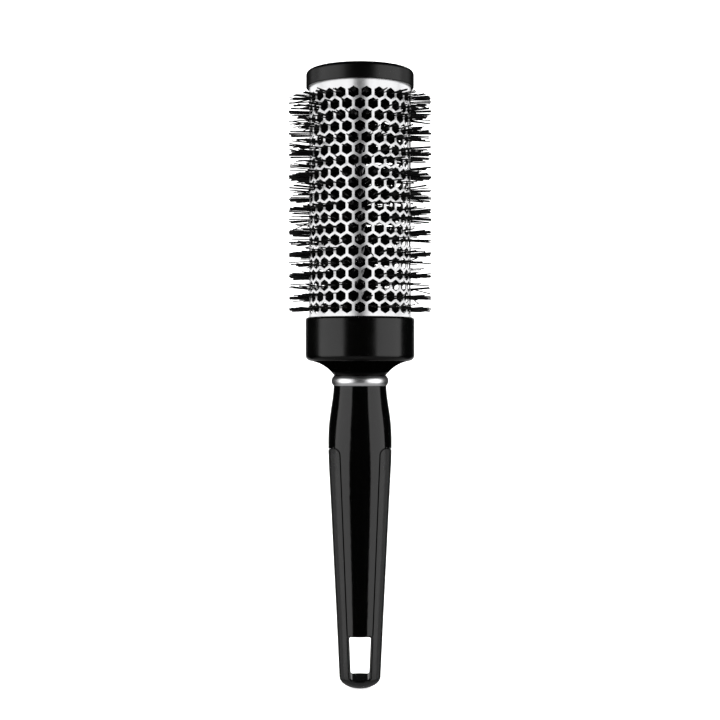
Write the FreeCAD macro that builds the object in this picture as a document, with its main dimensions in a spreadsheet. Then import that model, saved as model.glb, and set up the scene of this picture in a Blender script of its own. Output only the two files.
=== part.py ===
import FreeCAD, Part
import math
import os
import Sketcher

# Round barrel brush, in millimetres. +Z runs up the brush from the end of the handle to the
# cap, and the front of the handle faces -Y. The origin is the lowest point of the handle.

# Driving dimensions: alias, value, what it measures.
DIMENSIONS = [
    ("barrel_radius", 21.5, "outside of the aluminium tube"),
    ("barrel_wall", 0.5, "thickness of the tube"),
    ("barrel_bottom", 141.6, "end of the tube, seated in the ferrule"),
    ("barrel_top", 258.2, "end of the tube, seated in the cap"),
    ("vents_per_row", 25, "hexagonal vents round the tube"),
    ("vent_rows", 20, "rows of vents, each staggered by half a space"),
    ("vent_flats", 4.25, "vent width across flats"),
    ("vent_corner", 0.45, "corner radius of a vent"),
    ("vent_pitch", 4.63, "spacing of the rows along the tube"),
    ("vent_start", 160.3, "centre of the lowest row"),
    ("slip", 0.05, "sliding clearance of the pressed fits, on the radius"),
    ("tip_radius", 30.3, "trimmed bristle tips, from the axis"),
    ("root_radius", 2.7, "where the filaments leave the core wires"),
    ("tuft_root", 0.26, "radius of a bunch of filaments at the wires"),
    ("tuft_tip", 0.95, "radius of a bunch of filaments at its tips"),
    ("wire_radius", 1.1, "one core wire"),
    ("wire_offset", 1.13, "axis of each wire from the axis of the brush"),
    ("twist_pitch", 17.2, "one full turn of the twisted pair"),
    ("twist_start", 12.6, "angle of the first wire at its anchored end, in degrees"),
    ("wire_bottom", 136, "anchored end of the wires, in the tenon"),
    ("wire_top", 257.4, "crimped end of the wires"),
    ("cap_radius", 22.8, "outside of the end cap"),
    ("cap_bottom", 253.7, "open rim of the end cap"),
    ("cap_top", 260.8, "flat face of the end cap"),
    ("cap_plate", 2.3, "thickness of the cap's flat face"),
    ("cap_round", 1.7, "rounded top edge of the cap"),
    ("spigot_wall", 1.4, "ring inside the cap that the tube slips over"),
    ("ferrule_radius", 23.1, "widest part of the ferrule"),
    ("ferrule_top", 156.8, "open rim of the ferrule"),
    ("ferrule_bottom", 132.1, "narrow end of the ferrule"),
    ("ferrule_neck", 10.85, "radius of the narrow end"),
    ("flare_height", 6.5, "height of the concave flare"),
    ("flare_radius", 15, "radius of the concave flare"),
    ("shoulder_round", 2.5, "rounding where the flare meets the wall"),
    ("ring_bottom", 127.9, "handle side of the trim ring"),
    ("ring_edge", 11.1, "radius of the ring at its two sides"),
    ("ring_bulge", 12.05, "radius of the ring at its middle"),
    ("tenon_radius", 8.6, "handle tenon that enters the base plug"),
    ("tenon_top", 149.5, "end of the tenon"),
    ("plug_top", 151.6, "upper face of the base plug"),
    ("boss_radius", 5, "boss round the wires on the two plugs"),
    ("boss_height", 3, "height of that boss"),
    ("tip_plug_bottom", 251.6, "lower face of the tip plug"),
    ("tip_plug_top", 254.6, "upper face of the tip plug"),
    ("crimp_wall", 0.9, "wall of the crimped sleeve"),
    ("hole_bottom", 4.7, "lower edge of the hanging hole"),
    ("hole_top", 22.9, "upper edge of the hanging hole"),
    ("hole_width_bottom", 7.9, "hanging hole at its lower edge"),
    ("hole_width_top", 9.4, "hanging hole at its upper edge"),
    ("hole_corner", 1.1, "corner radius of the hanging hole"),
    ("hole_round", 0.7, "rounded rim of the hanging hole"),
    ("arch_top", 102.1, "highest point of each side grip"),
    ("arch_centre", 11.2, "highest point of each side grip, from the axis"),
    ("arch_radius", 3.1, "rounding of the top of each side grip"),
    ("seam_bottom", 5.1, "seam from the axis, at the hanging hole"),
    ("seam_gap", 0.5, "width of the groove between core and grip"),
    ("skin", 2, "thickness of the soft grip"),
]

# Oval sections of the handle: height, half width, half depth.
HANDLE_SECTIONS = [
    (127.9, 11.2, 11.19),
    (117.0, 12.5, 12.3),
    (107.5, 13.4, 12.5),
    (98.0, 13.35, 11.2),
    (85.0, 12.7, 10.1),
    (65.0, 11.7, 9.5),
    (45.0, 10.7, 9.2),
    (23.1, 9.6, 8.65),
    (5.0, 8.75, 7.6),
]
# The sections that the core keeps its narrower waist through.
WAIST_SECTIONS = range(2, 8)

FAR = 20
FRONT = -90
ROW_HEIGHT = "$vent_start + $vent_pitch * {row}"

doc = FreeCAD.newDocument("round_barrel_brush")
sheet = doc.addObject("Spreadsheet::Sheet", "Dimensions")


def fill_sheet():
    """Write every driving dimension and every handle section to the sheet."""
    rows = list(DIMENSIONS)
    for number, (height, width, depth) in enumerate(HANDLE_SECTIONS):
        rows.append(("section_height_%d" % number, height, "height of a handle section"))
        rows.append(("section_width_%d" % number, width, "half width of that section"))
        rows.append(("section_depth_%d" % number, depth, "half depth of that section"))
    for line, (alias, value, note) in enumerate(rows, start=1):
        sheet.set("A%d" % line, note)
        sheet.set("B%d" % line, str(value))
        sheet.setAlias("B%d" % line, alias)
    doc.recompute()


def bound(text):
    """Turn names of the sheet's cells, marked with $, into an expression."""
    return text.replace("$", "Dimensions.")


def value_of(text):
    """Work out such an expression as a number."""
    return float(sheet.evalExpression(bound(text)))


def vent_angle(row, vent):
    """Angle of a vent in degrees. The first row has a vent in the middle of the front."""
    return FRONT + 360 / value_of("$vents_per_row") * (vent + row % 2 / 2)


def origin_feature(body, role):
    """Find a body's own origin plane or axis."""
    for feature in body.Origin.OriginFeatures:
        if feature.Role == role:
            return feature
    raise ValueError(role)


def new_body(name):
    body = doc.addObject("PartDesign::Body", name)
    body.Label = name
    return body


def new_sketch(body, name, role):
    """Add a sketch on one of the body's own origin planes."""
    sketch = body.newObject("Sketcher::SketchObject", name)
    sketch.AttachmentSupport = [(origin_feature(body, role), "")]
    sketch.MapMode = "FlatFace"
    return sketch


def draw_outline(sketch, points, arcs=None):
    """Draw a closed outline whose corners are bound to the sheet.

    Each point is a pair of expressions. arcs gives, for the side that starts at that point,
    the expression of its radius, and +1 or -1 for the way it bends.
    """
    arcs = arcs or {}
    places = [FreeCAD.Vector(value_of(x), value_of(y), 0) for x, y in points]
    count = len(points)
    for index in range(count):
        start = places[index]
        end = places[(index + 1) % count]
        if index in arcs:
            middle = arc_middle(start, end, value_of(arcs[index][0]), arcs[index][1])
            sketch.addGeometry(Part.Arc(start, middle, end), False)
        else:
            sketch.addGeometry(Part.LineSegment(start, end), False)
    for index in range(count):
        tie_corner(sketch, index, (index + 1) % count, arcs)
    for index, (x, y) in enumerate(points):
        side = end_of_side(index, "start", arcs)
        bind_distance(sketch, "DistanceX", index, side, places[index].x, x)
        bind_distance(sketch, "DistanceY", index, side, places[index].y, y)
    for index, (radius, _) in arcs.items():
        number = sketch.addConstraint(Sketcher.Constraint("Radius", index, value_of(radius)))
        sketch.setExpression("Constraints[%d]" % number, bound(radius))


def arc_middle(start, end, radius, bend):
    """Find the point half way along an arc between two points."""
    chord = end - start
    normal = FreeCAD.Vector(-chord.y, chord.x, 0).normalize()
    rise = radius - math.sqrt(radius ** 2 - (chord.Length / 2) ** 2)
    return start + chord / 2 + normal * rise * bend


def end_of_side(index, which, arcs):
    """Give the sketcher's number for the start or end of a side.

    An arc always runs anticlockwise, so one that bends to the left is stored backwards.
    """
    backwards = index in arcs and arcs[index][1] > 0
    return {"start": 2 if backwards else 1, "end": 1 if backwards else 2}[which]


def tie_corner(sketch, index, following, arcs):
    here = end_of_side(index, "end", arcs)
    there = end_of_side(following, "start", arcs)
    sketch.addConstraint(Sketcher.Constraint("Coincident", index, here, following, there))


def bind_distance(sketch, kind, index, side, value, text):
    """Fix one coordinate of a corner and bind it to the sheet."""
    constraint = Sketcher.Constraint(kind, -1, 1, index, side, value)
    number = sketch.addConstraint(constraint)
    sketch.setExpression("Constraints[%d]" % number, bound(text))


def turned_body(name, points, arcs=None):
    """Revolve a radius-and-height outline about the axis of the brush."""
    body = new_body(name)
    sketch = new_sketch(body, name + "_profile", "XZ_Plane")
    draw_outline(sketch, points, arcs)
    turn = body.newObject("PartDesign::Revolution", name + "_turn")
    turn.Profile = sketch
    turn.ReferenceAxis = (origin_feature(body, "Z_Axis"), [""])
    turn.Angle = 360
    doc.recompute()
    return body


def round_rims(body, name, radius, rims):
    """Fillet the circular edges of a turned body that lie at each radius and height."""
    base = body.Tip
    names = []
    for rim_radius, height in rims:
        for number, edge in enumerate(base.Shape.Edges, start=1):
            if not isinstance(edge.Curve, Part.Circle):
                continue
            same_radius = abs(edge.Curve.Radius - value_of(rim_radius)) < 0.01
            same_height = abs(edge.Curve.Center.z - value_of(height)) < 0.01
            if same_radius and same_height:
                names.append("Edge%d" % number)
    if len(names) != len(rims):
        raise ValueError("rim edges of %s: %s" % (body.Label, names))
    fillet = body.newObject("PartDesign::Fillet", name)
    fillet.Base = (base, names)
    fillet.setExpression("Radius", bound(radius))
    body.Tip = fillet
    doc.recompute()


def make_end_cap():
    """Shallow cup with an inner ring, so that the tube sits in an annular groove."""
    bore = "$barrel_radius + $slip"
    spigot = "$barrel_radius - $barrel_wall - $slip"
    underside = "$cap_top - $cap_plate"
    body = turned_body("end_cap", [
        ("0", underside),
        ("%s - $spigot_wall" % spigot, underside),
        ("%s - $spigot_wall" % spigot, "$tip_plug_top + $slip"),
        (spigot, "$tip_plug_top + $slip"),
        (spigot, underside),
        (bore, underside),
        (bore, "$cap_bottom"),
        ("$cap_radius", "$cap_bottom"),
        ("$cap_radius", "$cap_top"),
        ("0", "$cap_top"),
    ])
    round_rims(body, "cap_top_round", "$cap_round", [("$cap_radius", "$cap_top")])
    round_rims(body, "cap_rim_round", "$cap_round / 4", [("$cap_radius", "$cap_bottom")])
    return body


def make_ferrule():
    """Bell-shaped collar: a cup for the tube, and a concave flare down to the trim ring."""
    bore = "$barrel_radius + $slip"
    neck = "$tenon_radius + $slip"
    shoulder = "$ferrule_bottom + $flare_height"
    points = [
        (neck, "$ferrule_bottom"),
        ("$ferrule_neck", "$ferrule_bottom"),
        ("$ferrule_radius", shoulder),
        ("$ferrule_radius", "$ferrule_top"),
        (bore, "$ferrule_top"),
        (bore, "$barrel_bottom"),
        (neck, "$barrel_bottom"),
    ]
    body = turned_body("ferrule", points, {1: ("$flare_radius", 1)})
    round_rims(body, "ferrule_shoulder", "$shoulder_round", [("$ferrule_radius", shoulder)])
    round_rims(body, "ferrule_rim", "$shoulder_round / 2", [("$ferrule_radius", "$ferrule_top")])
    return body


def make_trim_ring():
    """Half-round ring between the ferrule and the handle."""
    bore = "$tenon_radius + $slip"
    half = "($ferrule_bottom - $ring_bottom) / 2"
    bulge = "$ring_bulge - $ring_edge"
    radius = "({h} * {h} + ({b}) * ({b})) / (2 * ({b}))".format(h=half, b=bulge)
    return turned_body("trim_ring", [
        (bore, "$ring_bottom"),
        ("$ring_edge", "$ring_bottom"),
        ("$ring_edge", "$ferrule_bottom"),
        (bore, "$ferrule_bottom"),
    ], {1: (radius, -1)})


def make_base_plug():
    """Hub that fills the lower end of the tube and takes the tenon from below."""
    outside = "$barrel_radius - $barrel_wall - $slip"
    socket = "$tenon_radius + $slip"
    bore = "$wire_offset + $wire_radius + $slip"
    return turned_body("base_plug", [
        (socket, "$barrel_bottom"),
        (outside, "$barrel_bottom"),
        (outside, "$plug_top"),
        ("$boss_radius", "$plug_top"),
        ("$boss_radius", "$plug_top + $boss_height"),
        (bore, "$plug_top + $boss_height"),
        (bore, "$tenon_top + $slip"),
        (socket, "$tenon_top + $slip"),
    ])


def make_tip_plug():
    """Hub that centres the core wires in the upper end of the tube."""
    outside = "$barrel_radius - $barrel_wall - $slip"
    bore = "$wire_offset + $wire_radius + $slip"
    return turned_body("tip_plug", [
        (bore, "$tip_plug_bottom"),
        (outside, "$tip_plug_bottom"),
        (outside, "$tip_plug_top"),
        (bore, "$tip_plug_top"),
    ])


def make_wire_crimp():
    """Sleeve squeezed on the ends of the wires, on top of the tip plug."""
    bore = "$wire_offset + $wire_radius + $slip"
    return turned_body("wire_crimp", [
        (bore, "$tip_plug_top"),
        (bore + " + $crimp_wall", "$tip_plug_top"),
        (bore + " + $crimp_wall", "$wire_top"),
        (bore, "$wire_top"),
    ])


def make_core_wire(name, turn):
    """One wire of the twisted pair: a round section swept along a helix."""
    helix = doc.addObject("Part::Helix", name + "_path")
    helix.setExpression("Radius", bound("$wire_offset"))
    helix.setExpression("Pitch", bound("$twist_pitch"))
    helix.setExpression("Height", bound("$wire_top - $wire_bottom"))
    section = doc.addObject("Part::Circle", name + "_section")
    section.setExpression("Radius", bound("$wire_radius"))
    lead = math.degrees(math.atan(value_of("2 * pi * $wire_offset / $twist_pitch")))
    tilt = FreeCAD.Rotation(FreeCAD.Vector(-1, 0, 0), lead)
    section.Placement = FreeCAD.Placement(FreeCAD.Vector(0, 0, 0), tilt)
    section.setExpression("Placement.Base.x", bound("$wire_offset"))
    doc.recompute()
    wire = doc.addObject("Part::Sweep", name)
    wire.Sections = [section]
    wire.Spine = (helix, ["Edge%d" % (i + 1) for i in range(len(helix.Shape.Edges))])
    wire.Solid = True
    wire.Frenet = True
    doc.recompute()
    facing = FreeCAD.Rotation(FreeCAD.Vector(0, 0, 1), value_of("$twist_start") + turn)
    wire.Placement = FreeCAD.Placement(FreeCAD.Vector(0, 0, 0), facing)
    wire.setExpression("Placement.Base.z", bound("$wire_bottom"))
    wire.Label = name
    return wire


def make_barrel_tube():
    """Thin tube with every vent cut through it by a copy of one hexagonal prism."""
    plain = turned_body("plain_tube", [
        ("$barrel_radius - $barrel_wall", "$barrel_bottom"),
        ("$barrel_radius", "$barrel_bottom"),
        ("$barrel_radius", "$barrel_top"),
        ("$barrel_radius - $barrel_wall", "$barrel_top"),
    ])
    prism = doc.addObject("Part::Prism", "vent_prism")
    prism.Polygon = 6
    prism.setExpression("Circumradius", bound("$vent_flats / sqrt(3)"))
    prism.setExpression("Height", bound("4 * $barrel_wall"))
    doc.recompute()
    punch = doc.addObject("Part::Fillet", "vent_punch")
    punch.Base = prism
    radius = value_of("$vent_corner")
    tall = value_of("2 * $barrel_wall")
    upright = [i for i, edge in enumerate(prism.Shape.Edges, 1) if edge.BoundBox.ZLength > tall]
    punch.Edges = [(number, radius, radius) for number in upright]
    doc.recompute()
    punches = doc.addObject("Part::Feature", "vent_punches")
    punches.Shape = Part.makeCompound(placed_punches(punch.Shape))
    tube = doc.addObject("Part::Cut", "barrel_tube")
    tube.Base = plain
    tube.Tool = punches
    tube.Label = "barrel_tube"
    return tube


def placed_punches(shape):
    """Copy the prism to every vent, its axis along the radius and two corners up and down."""
    punches = []
    inside = value_of("$barrel_radius - 2.5 * $barrel_wall")
    outward = FreeCAD.Rotation(FreeCAD.Vector(0, 1, 0), 90)
    for row in range(int(value_of("$vent_rows"))):
        height = value_of(ROW_HEIGHT.format(row=row))
        for vent in range(int(value_of("$vents_per_row"))):
            facing = FreeCAD.Rotation(FreeCAD.Vector(0, 0, 1), vent_angle(row, vent))
            start = facing.multVec(FreeCAD.Vector(inside, 0, height))
            punch = shape.copy()
            punch.Placement = FreeCAD.Placement(start, facing.multiply(outward))
            punches.append(punch)
    return punches


def make_bristle_row(row):
    """The bunches of filaments that come out through one row of vents."""
    name = "bristle_row_%02d" % (row + 1)
    body = new_body(name)
    body.AllowCompound = True
    tuft = body.newObject("PartDesign::AdditiveCone", name + "_tuft")
    tuft.AttachmentSupport = [(origin_feature(body, "YZ_Plane"), "")]
    tuft.MapMode = "FlatFace"
    tuft.setExpression("AttachmentOffset.Base.y", bound(ROW_HEIGHT.format(row=row)))
    tuft.setExpression("AttachmentOffset.Base.z", bound("$root_radius"))
    tuft.setExpression("Radius1", bound("$tuft_root"))
    tuft.setExpression("Radius2", bound("$tuft_tip"))
    tuft.setExpression("Height", bound("$tip_radius - $root_radius"))
    doc.recompute()
    around = body.newObject("PartDesign::PolarPattern", name + "_pattern")
    around.Originals = [tuft]
    around.Axis = (origin_feature(body, "Z_Axis"), [""])
    around.Angle = 360
    around.setExpression("Occurrences", bound("$vents_per_row"))
    body.Tip = around
    facing = FreeCAD.Rotation(FreeCAD.Vector(0, 0, 1), vent_angle(row, 0))
    body.Placement = FreeCAD.Placement(FreeCAD.Vector(0, 0, 0), facing)
    return body


def loft_ovals(name, numbers, inset):
    """Loft through the handle's oval sections, each made smaller all round by inset."""
    ovals = []
    for number in numbers:
        oval = doc.addObject("Part::Ellipse", "%s_oval_%d" % (name, number))
        oval.setExpression("MajorRadius", bound("$section_width_%d - %s" % (number, inset)))
        oval.setExpression("MinorRadius", bound("$section_depth_%d - %s" % (number, inset)))
        oval.setExpression("Placement.Base.z", bound("$section_height_%d" % number))
        ovals.append(oval)
    loft = doc.addObject("Part::Loft", name)
    loft.Sections = ovals
    loft.Solid = True
    loft.MaxDegree = 3
    doc.recompute()
    return loft


def make_hole_cutter():
    """Tapered slot with rounded corners, which runs through the handle front to back."""
    body = new_body("hole_cutter")
    sketch = new_sketch(body, "hole_outline", "XZ_Plane")
    draw_outline(sketch, [
        ("0 - $hole_width_bottom / 2", "$hole_bottom"),
        ("$hole_width_bottom / 2", "$hole_bottom"),
        ("$hole_width_top / 2", "$hole_top"),
        ("0 - $hole_width_top / 2", "$hole_top"),
    ])
    pad = body.newObject("PartDesign::Pad", "hole_pad")
    pad.Profile = sketch
    pad.Midplane = True
    pad.Length = 2 * FAR
    doc.recompute()
    corners = [name for name, box in named_edges(pad.Shape) if box.YLength > FAR]
    fillet = body.newObject("PartDesign::Fillet", "hole_corners")
    fillet.Base = (pad, corners)
    fillet.setExpression("Radius", bound("$hole_corner"))
    body.Tip = fillet
    doc.recompute()
    return body


def named_edges(shape):
    """Pair the name of each edge with its bounding box."""
    return [("Edge%d" % i, edge.BoundBox) for i, edge in enumerate(shape.Edges, start=1)]


def make_handle_form():
    """Outer form of the whole handle: lofted ovals, a rounded end and the hanging hole."""
    stem = loft_ovals("handle_stem", range(len(HANDLE_SECTIONS)), "0")
    last = len(HANDLE_SECTIONS) - 1
    end = doc.addObject("Part::Ellipsoid", "handle_end")
    end.setExpression("Placement.Base.z", bound("$section_height_%d" % last))
    end.setExpression("Radius1", bound("$section_height_%d" % last))
    end.setExpression("Radius2", bound("$section_width_%d" % last))
    end.setExpression("Radius3", bound("$section_depth_%d" % last))
    end.Angle1 = -90
    end.Angle2 = 0
    solid = boolean("Fuse", "handle_solid", stem, end)
    drilled = boolean("Cut", "handle_drilled", solid, make_hole_cutter())
    doc.recompute()
    form = doc.addObject("Part::Fillet", "handle_form")
    form.Base = drilled
    radius = value_of("$hole_round")
    form.Edges = [(number, radius, radius) for number in rim_edges(drilled.Shape)]
    doc.recompute()
    return form


def rim_edges(shape):
    """Number the edges of the hanging hole that lie on the front or the back face."""
    numbers = []
    margin = 0.05
    reach = value_of("$hole_width_top / 2") + margin
    low = value_of("$hole_bottom") - margin
    high = value_of("$hole_top") + margin
    for number, edge in enumerate(shape.Edges, start=1):
        box = edge.BoundBox
        near_hole = box.ZMin > low and box.ZMax < high and max(-box.XMin, box.XMax) < reach
        on_one_face = box.YMin * box.YMax > 0
        if near_hole and on_one_face:
            numbers.append(number)
    return numbers


def make_grip_zone(name, gap):
    """Prism, front to back, over everything that lies outside the seam."""
    body = new_body(name)
    sketch = new_sketch(body, name + "_outline", "XZ_Plane")
    foot = "$section_height_%d" % WAIST_SECTIONS[-1]
    right = [
        ("$seam_bottom + %s" % gap, foot),
        ("$arch_centre - $arch_radius + %s" % gap, "$arch_top - $arch_radius"),
        ("$arch_centre", "$arch_top - %s" % gap),
        (str(FAR), "$arch_top - %s - ($arch_radius)" % gap),
        (str(FAR), "0 - %d" % FAR),
    ]
    left = [("0 - (%s)" % x, z) for x, z in reversed(right)]
    arcs = {1: ("$arch_radius - %s" % gap, 1), 7: ("$arch_radius - %s" % gap, 1)}
    draw_outline(sketch, right + left, arcs)
    pad = body.newObject("PartDesign::Pad", name + "_pad")
    pad.Profile = sketch
    pad.Midplane = True
    pad.Length = 2 * FAR
    doc.recompute()
    return body


def boolean(kind, name, base, tool):
    result = doc.addObject("Part::" + kind, name)
    result.Label = name
    result.Base = base
    result.Tool = tool
    return result


def make_handle():
    """Hard core with its tenon, and the soft grip moulded over its sides and end."""
    form = make_handle_form()
    waist = loft_ovals("waist_form", WAIST_SECTIONS, "$skin")
    recess_zone = make_grip_zone("recess_zone", "0")
    grip_zone = make_grip_zone("grip_zone", "$seam_gap")
    bore = "$wire_offset + $wire_radius + $slip"
    tenon = turned_body("tenon", [
        (bore, "$wire_bottom"),
        ("0", "$wire_bottom"),
        ("0", "$ring_bottom - $skin"),
        ("$tenon_radius", "$ring_bottom - $skin"),
        ("$tenon_radius", "$tenon_top"),
        (bore, "$tenon_top"),
    ])
    recess = boolean("Cut", "recess", recess_zone, waist)
    shell = boolean("Cut", "core_form", form, recess)
    core = boolean("Fuse", "handle_core", shell, tenon)
    covering = boolean("Common", "covering", form, grip_zone)
    grip = boolean("Cut", "soft_grip", covering, waist)
    return core, grip


def check_document():
    """Stop if any object of the document failed to compute."""
    for item in doc.Objects:
        if "Invalid" in item.State or "Error" in item.State:
            raise RuntimeError("%s: %s" % (item.Name, item.State))


def export(subparts):
    """Check each sub-part's shape and write it to a file named after the sub-part."""
    os.makedirs("parts", exist_ok=True)
    for item in subparts:
        shape = item.Shape
        if shape.isNull() or not shape.isValid():
            raise RuntimeError("bad shape: " + item.Label)
    for item in subparts:
        item.Shape.exportStep("parts/%s.step" % item.Label)
        box = item.Shape.BoundBox
        print("%-16s solids %3d  volume %9.1f  z %6.1f to %6.1f" % (
            item.Label, len(item.Shape.Solids), item.Shape.Volume, box.ZMin, box.ZMax))


fill_sheet()
handle_core, soft_grip = make_handle()
subparts = [
    handle_core,
    soft_grip,
    make_trim_ring(),
    make_ferrule(),
    make_base_plug(),
    make_barrel_tube(),
    make_core_wire("core_wire_a", 0),
    make_core_wire("core_wire_b", 180),
    make_tip_plug(),
    make_wire_crimp(),
    make_end_cap(),
]
for row in range(int(value_of("$vent_rows"))):
    subparts.append(make_bristle_row(row))
doc.recompute()
check_document()
export(subparts)
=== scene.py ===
import math
import random

import bmesh
import bpy
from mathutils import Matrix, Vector


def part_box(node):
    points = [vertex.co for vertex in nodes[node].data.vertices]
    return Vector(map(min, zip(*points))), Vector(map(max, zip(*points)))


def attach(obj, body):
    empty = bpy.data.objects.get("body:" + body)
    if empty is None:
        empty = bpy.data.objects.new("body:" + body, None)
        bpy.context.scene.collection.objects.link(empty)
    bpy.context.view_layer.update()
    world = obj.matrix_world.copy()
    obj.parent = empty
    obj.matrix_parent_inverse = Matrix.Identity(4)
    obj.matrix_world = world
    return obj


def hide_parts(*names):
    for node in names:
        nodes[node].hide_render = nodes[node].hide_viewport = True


# Looks of the round barrel brush, in metres, in the frame of the CAD model: +Z runs from the
# end of the handle to the cap, and the front of the handle faces -Y.

MM = 0.001
BODY = "root"

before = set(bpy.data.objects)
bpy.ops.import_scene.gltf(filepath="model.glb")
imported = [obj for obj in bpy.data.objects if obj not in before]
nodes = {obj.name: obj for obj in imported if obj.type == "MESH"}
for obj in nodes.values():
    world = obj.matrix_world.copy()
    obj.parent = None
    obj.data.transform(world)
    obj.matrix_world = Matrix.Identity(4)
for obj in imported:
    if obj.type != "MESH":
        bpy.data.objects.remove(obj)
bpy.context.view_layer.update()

BRISTLE_ROWS = sorted(name for name in nodes if name.startswith("bristle_row_"))
BARREL_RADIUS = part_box("barrel_tube")[1].x
TIP_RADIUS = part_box(BRISTLE_ROWS[0])[1].x

CAMERA_DISTANCE = 0.58
CAMERA_HEIGHT = 0.1388
CAMERA_LENS = 68.5
CAMERA_SENSOR = 36

LIGHT_DISTANCE = 1.2
LIGHT_HEIGHT = 0.17
LIGHT_TALL = 1.3
# Pieces that some of the lights are kept to.
LIT_GROUPS = {
    "barrel": ("barrel_tube",),
    "ring": ("trim_ring",),
    "satin": ("end_cap", "soft_grip"),
    "black": ("handle_core", "soft_grip", "ferrule"),
}
# Each light stands on both sides: name, degrees round from the camera, width, radiance, group.
LIGHTS = [
    ("softbox", 64, 1.42, 1.3, None),
    ("fill", 23.5, 0.41, 1.55, "barrel"),
    ("barrel_kicker", 125, 1.2, 1.3, "barrel"),
    ("ring_fill", 62, 1.9, 0.4, "ring"),
    ("satin_kicker", 110, 0.75, 0.45, "satin"),
    ("rear", 163, 0.4, 0.6, "black"),
]

# Brightness of the surroundings, level with the brush and far below it, and the angles below
# the horizon, in degrees, between which one turns into the other.
WORLD_ROUND = 0.01
WORLD_BELOW = 0.35
WORLD_TURN_START = 24
WORLD_TURN_END = 38

# The floor curves up into a round wall. It starts from a small disc under the brush.
STAGE_CENTRE = 0.02
STAGE_RADIUS = 2.4
STAGE_BEND = 0.6
STAGE_HEIGHT = 3.0
STAGE_SPOKES = 64
STAGE_STEPS = 12
STAGE_GLOW = 0.75

# Heights between which the collar flares out. Each place between them, from 0 to 1, has its
# specular level.
FLARE_LOW = 132 * MM
FLARE_HIGH = 141 * MM
FLARE_SHINE = [(0.0, 0.1), (0.2, 0.0), (0.7, 0.0), (1.0, 0.5)]

# Depths into the barrel's wall: anodised metal down to the first, and from the second a dark
# colour, painted shade in the vents' walls and inside the tube.
ANODISED_DEPTH = 0.1 * MM
PAINTED_SHADE_DEPTH = 0.3 * MM

# The twisted wires hold the filaments in fans, one for each half turn of the wires. FAN_START
# is the height of a fan on the side that angle 0 points at.
VENTS_PER_ROW = 25
FRONT = math.radians(-90)
FAN_SPACING = 8.6 * MM
FAN_START = 165.5 * MM
# A vent is full at the height of a fan and thin half way between two. A breadth over 1 keeps
# it full for the first part of that way, and the sharpness is how fast it then thins.
FAN_BREADTH = 1.5
FAN_SHARPNESS = 1.3
# A filament goes through its vent this share of the way from the middle of the vent towards
# the height of its fan, and keeps a share of its slope outside.
FAN_PULL = 0.28
SLOPE_KEPT = 0.6

SEED = 7
FILAMENT_RADIUS = 0.26 * MM
FILAMENT_SIDES = 6
MOST_FILAMENTS = 4
NUMBER_JITTER = 0.8
ROOT_RADIUS = 1.0 * MM
TRIM_RADIUS = TIP_RADIUS - 0.05 * MM
STRAY_SHARE = 0.03
SHORT_SHARE = 0.06
# A short filament ends this many millimetres inside the others, from least to most.
SHORT_BY = (0.4, 2.4)

# Chance offsets in millimetres, each a standard deviation and a limit: of the root along the
# wires, across the vent, up and down in the vent, and short of the trimmed tip.
ROOT_OFFSET = (0.5, 1.0)
ACROSS_OFFSET = (0.7, 1.4)
HEIGHT_OFFSET = (0.28, 0.6)
TRIM_OFFSET = (0.15, 0.6)

# Chance slopes, and chance turns in radians.
SPLAY = 0.014
PACKED_SPLAY = 0.04
STRAY_SPLAY = 0.22
ROOT_TURN = 0.4
TIP_TURN = 0.012
STRAY_TURN = 0.06
INNER_TURN = 0.12

# Filaments that end inside the tube, at these shares of its radius. Their ends spread more
# from row to row, so the upper rows are harder to see through. The spreads are standard
# deviations in millimetres, and the limit is a number of them.
INNER_FILAMENTS = 12
INNER_REACH = (0.6, 0.93)
INNER_SPREAD = 1.4
INNER_SPREAD_PER_ROW = 0.075
INNER_SPREAD_LIMIT = 1.6


# ---------------------------------------------------------------- camera, light and stage

def add_camera():
    """Level view of the front, from half way up the brush."""
    data = bpy.data.cameras.new("camera")
    data.sensor_width = CAMERA_SENSOR
    data.lens = CAMERA_LENS
    camera = bpy.data.objects.new("camera", data)
    bpy.context.scene.collection.objects.link(camera)
    camera.location = (0, -CAMERA_DISTANCE, CAMERA_HEIGHT)
    camera.rotation_euler = (math.radians(90), 0, 0)
    bpy.context.scene.camera = camera


def add_area_light(name, azimuth, width, radiance, only):
    """Upright softbox that faces the brush. Azimuth 0 is in front of it and 90 on its right.

    Where only is a collection, the light falls on its pieces and nothing else.
    """
    data = bpy.data.lights.new(name, "AREA")
    data.shape = "RECTANGLE"
    data.size = width
    data.size_y = LIGHT_TALL
    data.energy = radiance * math.pi * width * LIGHT_TALL
    light = bpy.data.objects.new(name, data)
    bpy.context.scene.collection.objects.link(light)
    turn = math.radians(azimuth)
    light.location = polar(LIGHT_DISTANCE, FRONT + turn, LIGHT_HEIGHT)
    light.rotation_euler = (math.radians(90), 0, turn)
    light.visible_camera = False
    if only is not None:
        light.light_linking.receiver_collection = only


def lit_group(name):
    """Collection of the pieces that a light is kept to."""
    group = bpy.data.collections.new("lit_" + name)
    for member in LIT_GROUPS[name]:
        group.objects.link(nodes[member])
    return group


def add_lights():
    """Two tall softboxes either side of the camera leave a dark stripe down the middle.

    The metal and the satin black get more light than the gloss black, from fills near the
    camera and from kickers at the sides. Dim lights behind trace the black edges.
    """
    groups = {name: lit_group(name) for name in LIT_GROUPS}
    for side, sign in (("left", -1), ("right", 1)):
        for name, azimuth, width, radiance, group in LIGHTS:
            add_area_light(name + "_" + side, azimuth * sign, width, radiance, groups.get(group))


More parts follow.
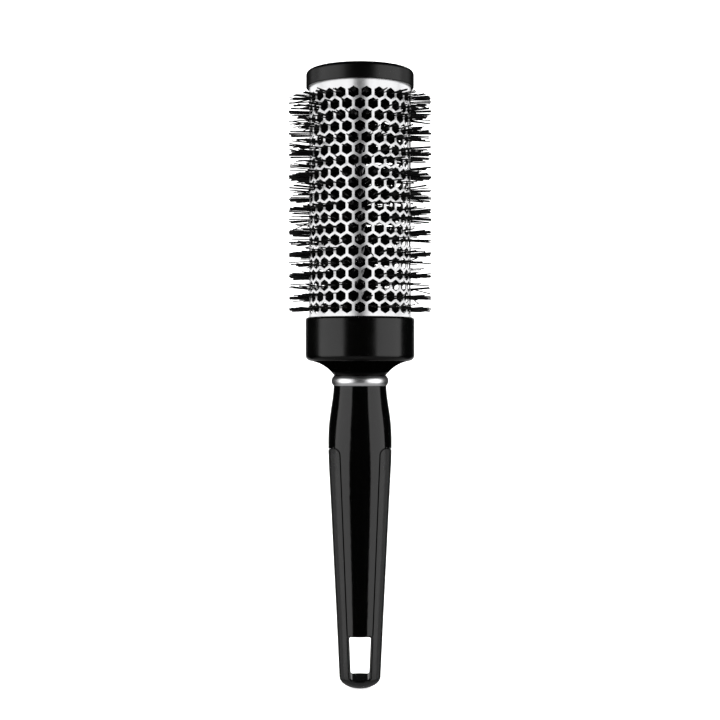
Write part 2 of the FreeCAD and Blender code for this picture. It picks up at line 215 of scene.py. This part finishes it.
def add_world():
    """Dark all round, so that the lights shape the reflections, and paler far below.

    The paler part shows in the black handle when it is looked at from above.
    """
    world = bpy.data.worlds.new("studio")
    world.use_nodes = True
    tree = world.node_tree
    place = tree.nodes.new("ShaderNodeTexCoord")
    split = tree.nodes.new("ShaderNodeSeparateXYZ")
    glow = tree.nodes.new("ShaderNodeMapRange")
    glow.inputs["From Min"].default_value = math.sin(math.radians(-WORLD_TURN_END))
    glow.inputs["From Max"].default_value = math.sin(math.radians(-WORLD_TURN_START))
    glow.inputs["To Min"].default_value = WORLD_BELOW
    glow.inputs["To Max"].default_value = WORLD_ROUND
    tree.links.new(place.outputs["Generated"], split.inputs["Vector"])
    tree.links.new(split.outputs["Z"], glow.inputs["Value"])
    background = tree.nodes["Background"]
    background.inputs["Color"].default_value = (1, 1, 1, 1)
    tree.links.new(glow.outputs["Result"], background.inputs["Strength"])
    bpy.context.scene.world = world


def add_stage():
    """Pale floor that curves up into a round wall on every side."""
    flat = STAGE_RADIUS - STAGE_BEND
    outline = [(STAGE_CENTRE, 0.0), (flat, 0.0)]
    for step in range(1, STAGE_STEPS + 1):
        angle = math.radians(90 * step / STAGE_STEPS)
        outward = flat + STAGE_BEND * math.sin(angle)
        outline.append((outward, STAGE_BEND - STAGE_BEND * math.cos(angle)))
    outline.append((STAGE_RADIUS, STAGE_HEIGHT))
    mesh = bmesh.new()
    spokes = []
    for spoke in range(STAGE_SPOKES):
        angle = 2 * math.pi * spoke / STAGE_SPOKES
        spokes.append([mesh.verts.new(polar(out, angle, up)) for out, up in outline])
    for spoke in range(STAGE_SPOKES):
        here = spokes[spoke]
        there = spokes[(spoke + 1) % STAGE_SPOKES]
        for index in range(len(outline) - 1):
            mesh.faces.new((here[index], here[index + 1], there[index + 1], there[index]))
    mesh.faces.new([spoke[0] for spoke in spokes])
    stage = mesh_object("stage_floor", mesh)
    stage.visible_glossy = False
    stage.data.materials.append(stage_material())


def stage_material():
    """Matt white that glows a little, so that the far wall is as pale as the floor."""
    material, _, _, shader = new_material("stage_pale")
    shader.inputs["Base Color"].default_value = (0.9, 0.9, 0.9, 1)
    shader.inputs["Roughness"].default_value = 0.9
    shader.inputs["Emission Color"].default_value = (1, 1, 1, 1)
    shader.inputs["Emission Strength"].default_value = STAGE_GLOW
    return material


# ---------------------------------------------------------------- mesh helpers

def polar(radius, angle, height):
    """Point at a radius and an angle about the brush's axis."""
    return Vector((radius * math.cos(angle), radius * math.sin(angle), height))


def mesh_object(name, mesh):
    """Turn a bmesh into an object with smooth faces."""
    data = bpy.data.meshes.new(name)
    mesh.normal_update()
    mesh.to_mesh(data)
    mesh.free()
    data.shade_smooth()
    item = bpy.data.objects.new(name, data)
    bpy.context.scene.collection.objects.link(item)
    return item


def grow_tube(mesh, points):
    """Closed tube along points, as thick as a filament."""
    rings = []
    for index, point in enumerate(points):
        before = points[max(index - 1, 0)]
        after = points[min(index + 1, len(points) - 1)]
        along = (after - before).normalized()
        across = along.cross(Vector((0, 0, 1))).normalized()
        up = across.cross(along).normalized()
        ring = []
        for corner in range(FILAMENT_SIDES):
            angle = 2 * math.pi * corner / FILAMENT_SIDES
            offset = across * math.cos(angle) + up * math.sin(angle)
            ring.append(mesh.verts.new(point + offset * FILAMENT_RADIUS))
        rings.append(ring)
    for lower, upper in zip(rings, rings[1:]):
        for corner in range(FILAMENT_SIDES):
            following = (corner + 1) % FILAMENT_SIDES
            mesh.faces.new((lower[corner], lower[following], upper[following], upper[corner]))
    mesh.faces.new(list(reversed(rings[0])))
    mesh.faces.new(rings[-1])


# ---------------------------------------------------------------- materials

def new_material(name):
    """Material with its nodes, its links and its shader."""
    material = bpy.data.materials.new(name)
    material.use_nodes = True
    tree = material.node_tree
    return material, tree.nodes, tree.links, tree.nodes["Principled BSDF"]


def surface_noise(tree_nodes, links, scale, detail=4.0, stretch=(1, 1, 1)):
    """Noise fixed to the object, stretched along its axes."""
    place = tree_nodes.new("ShaderNodeTexCoord")
    mapping = tree_nodes.new("ShaderNodeMapping")
    mapping.inputs["Scale"].default_value = stretch
    noise = tree_nodes.new("ShaderNodeTexNoise")
    noise.inputs["Scale"].default_value = scale
    noise.inputs["Detail"].default_value = detail
    links.new(place.outputs["Object"], mapping.inputs["Vector"])
    links.new(mapping.outputs["Vector"], noise.inputs["Vector"])
    return noise.outputs["Fac"]


def ranged(tree_nodes, links, value, low, high):
    """Map a noise value between its usual 0.3 and 0.7 to another range."""
    node = tree_nodes.new("ShaderNodeMapRange")
    node.inputs["From Min"].default_value = 0.3
    node.inputs["From Max"].default_value = 0.7
    node.inputs["To Min"].default_value = low
    node.inputs["To Max"].default_value = high
    links.new(value, node.inputs["Value"])
    return node.outputs["Result"]


def bump(tree_nodes, links, value, shader, height):
    """Raise the surface by height where value is 1."""
    node = tree_nodes.new("ShaderNodeBump")
    node.inputs["Strength"].default_value = 1.0
    node.inputs["Distance"].default_value = height
    links.new(value, node.inputs["Height"])
    links.new(node.outputs["Normal"], shader.inputs["Normal"])


def black_moulding(name, grey, ior, haze_scale, smooth, hazy, grain_scale, grain_detail, relief):
    """Moulding with a haze that makes it rougher in places, and a grain with some relief."""
    material, tree_nodes, links, shader = new_material(name)
    shader.inputs["Base Color"].default_value = (grey, grey, grey, 1)
    shader.inputs["IOR"].default_value = ior
    haze = surface_noise(tree_nodes, links, haze_scale)
    links.new(ranged(tree_nodes, links, haze, smooth, hazy), shader.inputs["Roughness"])
    grain = surface_noise(tree_nodes, links, grain_scale, detail=grain_detail)
    bump(tree_nodes, links, grain, shader, relief)
    return material


def gloss_black(name, smooth, hazy):
    """Polished black moulding with a trace of orange peel and handling haze."""
    return black_moulding(
        name, grey=0.0003, ior=1.52, haze_scale=90, smooth=smooth, hazy=hazy,
        grain_scale=350, grain_detail=1.0, relief=0.004 * MM)


def dull_flare(material):
    """Take the reflections off the underside of the collar, between two heights."""
    tree = material.node_tree
    place = tree.nodes.new("ShaderNodeTexCoord")
    split = tree.nodes.new("ShaderNodeSeparateXYZ")
    height = tree.nodes.new("ShaderNodeMapRange")
    height.inputs["From Min"].default_value = FLARE_LOW
    height.inputs["From Max"].default_value = FLARE_HIGH
    shine = tree.nodes.new("ShaderNodeValToRGB")
    elements = shine.color_ramp.elements
    for way_up, _ in FLARE_SHINE[1:-1]:
        elements.new(way_up)
    for element, (_, level) in zip(elements, FLARE_SHINE):
        element.color = (level, level, level, 1)
    shader = tree.nodes["Principled BSDF"]
    tree.links.new(place.outputs["Object"], split.inputs["Vector"])
    tree.links.new(split.outputs["Z"], height.inputs["Value"])
    tree.links.new(height.outputs["Result"], shine.inputs["Fac"])
    tree.links.new(shine.outputs["Color"], shader.inputs["Specular IOR Level"])


def soft_touch():
    """Satin rubbery overmould with a fine spark-eroded grain."""
    return black_moulding(
        "soft_touch_overmould", grey=0.0012, ior=1.5, haze_scale=60, smooth=0.20, hazy=0.28,
        grain_scale=4500, grain_detail=2.0, relief=0.012 * MM)


def satin_black():
    """Satin black moulding of the end cap."""
    return black_moulding(
        "satin_black_moulding", grey=0.0006, ior=1.5, haze_scale=70, smooth=0.25, hazy=0.33,
        grain_scale=3000, grain_detail=2.0, relief=0.008 * MM)


def plain_black():
    """Heat-resistant moulding of the hidden plugs."""
    material, tree_nodes, links, shader = new_material("plug_moulding")
    shader.inputs["Base Color"].default_value = (0.02, 0.02, 0.02, 1)
    shader.inputs["Roughness"].default_value = 0.6
    grain = surface_noise(tree_nodes, links, 2000, detail=2.0)
    bump(tree_nodes, links, grain, shader, 0.01 * MM)
    return material


def barrel_metal():
    """Drawn and anodised aluminium: faint lines along the tube, and painted shade: the vents'
    walls and the inside of the tube are coloured dark.
    """
    material, tree_nodes, links, shader = new_material("anodised_barrel")
    shader.inputs["Metallic"].default_value = 1.0
    place = tree_nodes.new("ShaderNodeTexCoord")
    flatten = tree_nodes.new("ShaderNodeVectorMath")
    flatten.operation = "MULTIPLY"
    flatten.inputs[1].default_value = (1, 1, 0)
    radius = tree_nodes.new("ShaderNodeVectorMath")
    radius.operation = "LENGTH"
    outside = tree_nodes.new("ShaderNodeMapRange")
    outside.inputs["From Min"].default_value = BARREL_RADIUS - PAINTED_SHADE_DEPTH
    outside.inputs["From Max"].default_value = BARREL_RADIUS - ANODISED_DEPTH
    # Painted shade: the colour turns dark from the outside inwards, over the vents' walls and
    # the bore.
    painted_shade_tint = tree_nodes.new("ShaderNodeValToRGB")
    painted_shade_tint.color_ramp.elements[0].color = (0.10, 0.10, 0.10, 1)
    painted_shade_tint.color_ramp.elements[1].color = (0.80, 0.80, 0.81, 1)
    links.new(place.outputs["Object"], flatten.inputs[0])
    links.new(flatten.outputs["Vector"], radius.inputs[0])
    links.new(radius.outputs["Value"], outside.inputs["Value"])
    links.new(outside.outputs["Result"], painted_shade_tint.inputs["Fac"])
    links.new(painted_shade_tint.outputs["Color"], shader.inputs["Base Color"])
    lines = surface_noise(tree_nodes, links, 1.0, stretch=(2500, 2500, 60))
    links.new(ranged(tree_nodes, links, lines, 0.30, 0.35), shader.inputs["Roughness"])
    bump(tree_nodes, links, lines, shader, 0.0006 * MM)
    return material


def ring_metal():
    """Satin anodised metal of the trim ring, turned on a lathe."""
    material, tree_nodes, links, shader = new_material("satin_ring")
    shader.inputs["Metallic"].default_value = 1.0
    shader.inputs["Base Color"].default_value = (0.90, 0.90, 0.91, 1)
    lines = surface_noise(tree_nodes, links, 1.0, stretch=(120, 120, 9000))
    links.new(ranged(tree_nodes, links, lines, 0.32, 0.38), shader.inputs["Roughness"])
    bump(tree_nodes, links, lines, shader, 0.001 * MM)
    return material


def wire_metal():
    """Drawn steel wire."""
    material, tree_nodes, links, shader = new_material("drawn_wire")
    shader.inputs["Metallic"].default_value = 1.0
    shader.inputs["Base Color"].default_value = (0.5, 0.5, 0.51, 1)
    marks = surface_noise(tree_nodes, links, 900)
    links.new(ranged(tree_nodes, links, marks, 0.28, 0.42), shader.inputs["Roughness"])
    return material


def nylon():
    """Black nylon filament, drawn smooth, a little uneven in gloss."""
    material, tree_nodes, links, shader = new_material("black_nylon")
    shader.inputs["Base Color"].default_value = (0.002, 0.002, 0.002, 1)
    shader.inputs["Specular IOR Level"].default_value = 0.2
    streaks = surface_noise(tree_nodes, links, 1500, detail=2.0)
    links.new(ranged(tree_nodes, links, streaks, 0.3, 0.45), shader.inputs["Roughness"])
    return material


# ---------------------------------------------------------------- bristles

def vent_centre(row, vent):
    """Angle and height of a vent. The lowest row has one in the middle of the front."""
    low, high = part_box(BRISTLE_ROWS[row])
    angle = FRONT + 2 * math.pi / VENTS_PER_ROW * (vent + row % 2 / 2)
    return angle, (low.z + high.z) / 2


def fan_height(angle, height):
    """Height of the nearest turn of the wires that has its gap facing this way."""
    first = FAN_START + FAN_SPACING * angle / math.pi
    return first + FAN_SPACING * round((height - first) / FAN_SPACING)


def clipped(chance, spread, limit):
    """Gaussian length that stays within plus or minus limit. Both are in millimetres."""
    return max(-limit, min(limit, chance.gauss(0, spread))) * MM


def grow_inner_filament(mesh, chance, angle, root, spread):
    """A filament too short to reach the vents, which still fills the fan inside the tube."""
    start = polar(ROOT_RADIUS, angle, root + clipped(chance, *ROOT_OFFSET))
    facing = angle + chance.uniform(-INNER_TURN, INNER_TURN)
    reach = chance.uniform(*INNER_REACH) * BARREL_RADIUS
    end = polar(reach, facing, root + clipped(chance, spread, INNER_SPREAD_LIMIT * spread))
    grow_tube(mesh, [start, start.lerp(end, 0.5), end])


def grow_filament(mesh, chance, angle, crossing, root, splay):
    """One filament, from its root on the wires, through the wall at crossing, to its tip."""
    stray = chance.random() < STRAY_SHARE
    through = angle + clipped(chance, *ACROSS_OFFSET) / BARREL_RADIUS
    crossing += clipped(chance, *HEIGHT_OFFSET)
    slope = (crossing - root) / BARREL_RADIUS * SLOPE_KEPT + chance.gauss(0, splay)
    tip_angle = through + chance.gauss(0, TIP_TURN)
    tip = TRIM_RADIUS - abs(clipped(chance, *TRIM_OFFSET))
    if stray:
        slope += chance.gauss(0, STRAY_SPLAY)
        tip_angle += chance.gauss(0, STRAY_TURN)
    if chance.random() < SHORT_SHARE:
        tip -= chance.uniform(*SHORT_BY) * MM
    facing = angle + chance.uniform(-ROOT_TURN, ROOT_TURN)
    start = polar(ROOT_RADIUS, facing, root + clipped(chance, *ROOT_OFFSET))
    middle = polar(BARREL_RADIUS, through, crossing)
    end = polar(tip, tip_angle, crossing + slope * (tip - BARREL_RADIUS))
    grow_tube(mesh, [start, start.lerp(middle, 0.5), middle, middle.lerp(end, 0.5), end])


def grow_row(row):
    """All the filaments of one row of vents. The fuller vents are those nearest a fan.

    At both ends of the wires the filaments are packed, so the first and last rows are full.
    """
    packed = row in (0, len(BRISTLE_ROWS) - 1)
    splay = PACKED_SPLAY if packed else SPLAY
    inner_spread = INNER_SPREAD + INNER_SPREAD_PER_ROW * row
    chance = random.Random(SEED * 100 + row)
    mesh = bmesh.new()
    for vent in range(VENTS_PER_ROW):
        angle, height = vent_centre(row, vent)
        fan = height if packed else fan_height(angle, height)
        offset = height - fan
        nearness = 1 - abs(offset) / (FAN_SPACING / 2)
        fullness = min(1.0, nearness * FAN_BREADTH) ** FAN_SHARPNESS
        jitter = chance.uniform(-NUMBER_JITTER, NUMBER_JITTER)
        for _ in range(round(1 + (MOST_FILAMENTS - 1) * fullness + jitter)):
            grow_filament(mesh, chance, angle, height - FAN_PULL * offset, fan, splay)
        for _ in range(INNER_FILAMENTS):
            grow_inner_filament(mesh, chance, angle, fan, inner_spread)
    name = BRISTLE_ROWS[row].replace("bristle_row", "filaments_row")
    piece = mesh_object(name, mesh)
    piece.data.materials.append(NYLON)
    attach(piece, BODY)
    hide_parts(BRISTLE_ROWS[row])


# ---------------------------------------------------------------- build

def finish_node(name, material):
    """Give a CAD node its finished material."""
    node = nodes[name]
    node.data.materials.clear()
    node.data.materials.append(material)


add_camera()
add_lights()
add_world()
add_stage()

PLUG = plain_black()
WIRE = wire_metal()
RING = ring_metal()
NYLON = nylon()
COLLAR = gloss_black("gloss_black_ferrule", smooth=0.18, hazy=0.25)
dull_flare(COLLAR)

finish_node("handle_core", gloss_black("gloss_black_handle", smooth=0.09, hazy=0.14))
finish_node("soft_grip", soft_touch())
finish_node("trim_ring", RING)
finish_node("ferrule", COLLAR)
finish_node("barrel_tube", barrel_metal())
finish_node("end_cap", satin_black())
for part in ("base_plug", "tip_plug"):
    finish_node(part, PLUG)
for part in ("core_wire_a", "core_wire_b"):
    finish_node(part, WIRE)
finish_node("wire_crimp", RING)

for row_number in range(len(BRISTLE_ROWS)):
    grow_row(row_number)

bpy.context.scene.view_settings.view_transform = "Standard"
